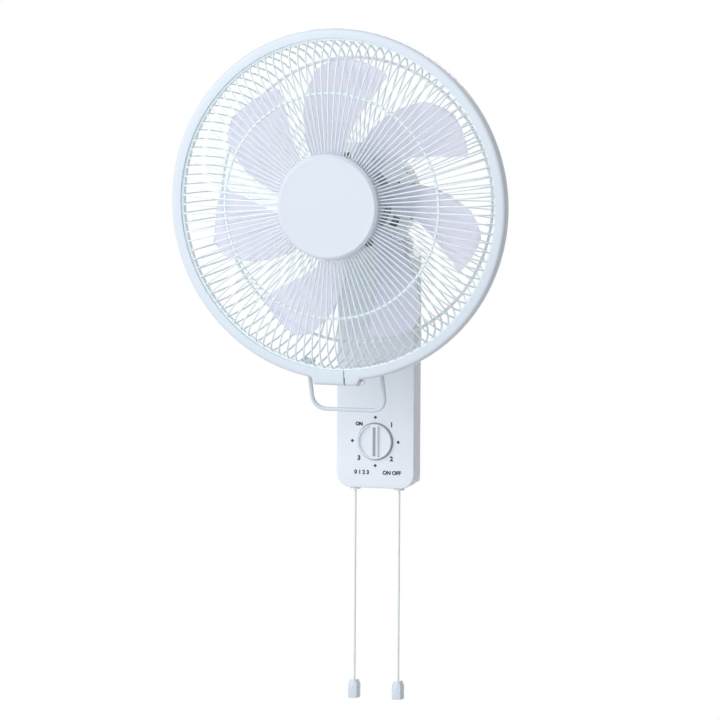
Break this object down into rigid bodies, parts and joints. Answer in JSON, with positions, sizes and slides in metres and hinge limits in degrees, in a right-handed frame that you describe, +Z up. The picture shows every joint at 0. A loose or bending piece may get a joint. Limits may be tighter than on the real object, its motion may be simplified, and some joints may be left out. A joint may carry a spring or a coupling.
{
  "type": "wall mounted fan",
  "caption": "Wall mounted fan with a round wire guard, a tilting and swinging head, a slim control box with a timer dial, and hanging pull cords.",
  "frame": {"origin": "on the wall plane, in the middle of the bracket's four screw holes", "axes": "+Z up, +Y into the wall, the fan faces -Y, +X to the right of a viewer who faces the fan"},
  "size_m": [0.36, 0.2353, 0.698],
  "materials": {
    "white_plastic": "satin white moulding",
    "blade_plastic": "smooth pale lavender moulding",
    "grey_plastic": "matt grey moulding",
    "dark_plastic": "matt black case",
    "painted_steel": "white powder coat",
    "bare_steel": "plain zinc finish",
    "cast_alloy": "as cast",
    "copper_winding": "varnished copper winding",
    "cord_fibre": "braided white cord",
    "rubber": "matt black rubber"
  },
  "bodies": {
    "control_box": {"wall_bracket": "bare_steel", "rear_housing": "white_plastic", "front_cover": "white_plastic", "cover_screw_left": "bare_steel", "cover_screw_right": "bare_steel", "cover_screw_top": "bare_steel", "bracket_lock_screw": "bare_steel", "mains_inlet_gland": "rubber", "terminal_block": "grey_plastic", "run_capacitor": "dark_plastic", "timer_mechanism": "grey_plastic", "speed_switch": "grey_plastic", "swing_switch": "grey_plastic", "speed_cord_bush": "grey_plastic", "swing_cord_bush": "grey_plastic", "neck_bearing": "grey_plastic", "swing_motor": "cast_alloy"},
    "timer_dial": {"timer_knob": "white_plastic", "timer_spindle": "bare_steel"},
    "speed_pull": {"speed_plunger": "white_plastic", "speed_pull_cord": "cord_fibre", "speed_pull_grip": "white_plastic"},
    "swing_pull": {"swing_plunger": "white_plastic", "swing_pull_cord": "cord_fibre", "swing_pull_grip": "white_plastic"},
    "crank": {"swing_crank": "grey_plastic"},
    "neck": {"swing_neck": "white_plastic", "neck_retaining_ring": "bare_steel", "swing_arm": "bare_steel", "tilt_bolt": "bare_steel", "tilt_nut": "bare_steel"},
    "head": {"tilt_bracket": "cast_alloy", "front_shield": "cast_alloy", "front_bearing": "bare_steel", "rear_bearing": "bare_steel", "stator_core": "bare_steel", "front_coils": "copper_winding", "rear_coils": "copper_winding", "motor_front_cover": "white_plastic", "motor_rear_cover": "white_plastic", "rear_cover_screw_left": "bare_steel", "rear_cover_screw_right": "bare_steel", "guard_nut": "grey_plastic", "front_guard": "painted_steel", "rear_guard": "painted_steel", "front_guard_ring_wire": "painted_steel", "rear_guard_ring_wire": "painted_steel", "guard_clamp_ring": "white_plastic", "clamp_ring_screw": "bare_steel", "centre_cap": "white_plastic", "tilt_handle": "painted_steel"},
    "rotor": {"motor_shaft": "bare_steel", "rotor_core": "cast_alloy", "fan_blades": "blade_plastic", "blade_nut": "white_plastic"}
  },
  "joints": [
    {"name": "head_swing", "type": "hinge", "parent": "control_box", "child": "neck", "pos_m": [0, -0.032, 0.119], "axis": [0, 0, 1], "range_deg": [-35, 35]},
    {"name": "head_tilt", "type": "hinge", "parent": "neck", "child": "head", "pos_m": [0, -0.032, 0.141], "axis": [1, 0, 0], "range_deg": [-12, 18]},
    {"name": "blade_spin", "type": "hinge", "parent": "head", "child": "rotor", "pos_m": [0, -0.195, 0.171], "axis": [0, 1, 0], "continuous": true},
    {"name": "crank_turn", "type": "hinge", "parent": "control_box", "child": "crank", "pos_m": [0, -0.056, 0.073], "axis": [0, 0, 1], "range_deg": [-105, 105]},
    {"name": "timer_turn", "type": "hinge", "parent": "control_box", "child": "timer_dial", "pos_m": [0, -0.0803, -0.082], "axis": [0, 1, 0], "range_deg": [-45, 270]},
    {"name": "speed_cord_pull", "type": "slide", "parent": "control_box", "child": "speed_pull", "axis": [0, 0, -1], "range_m": [0, 0.012], "stiffness_N_per_m": 300, "springref_m": -0.004},
    {"name": "swing_cord_pull", "type": "slide", "parent": "control_box", "child": "swing_pull", "axis": [0, 0, -1], "range_m": [0, 0.012], "stiffness_N_per_m": 300, "springref_m": -0.004}
  ],
  "couplings": [
    {"joint": "crank_turn", "follows": "head_swing", "ratio": 3}
  ]
}
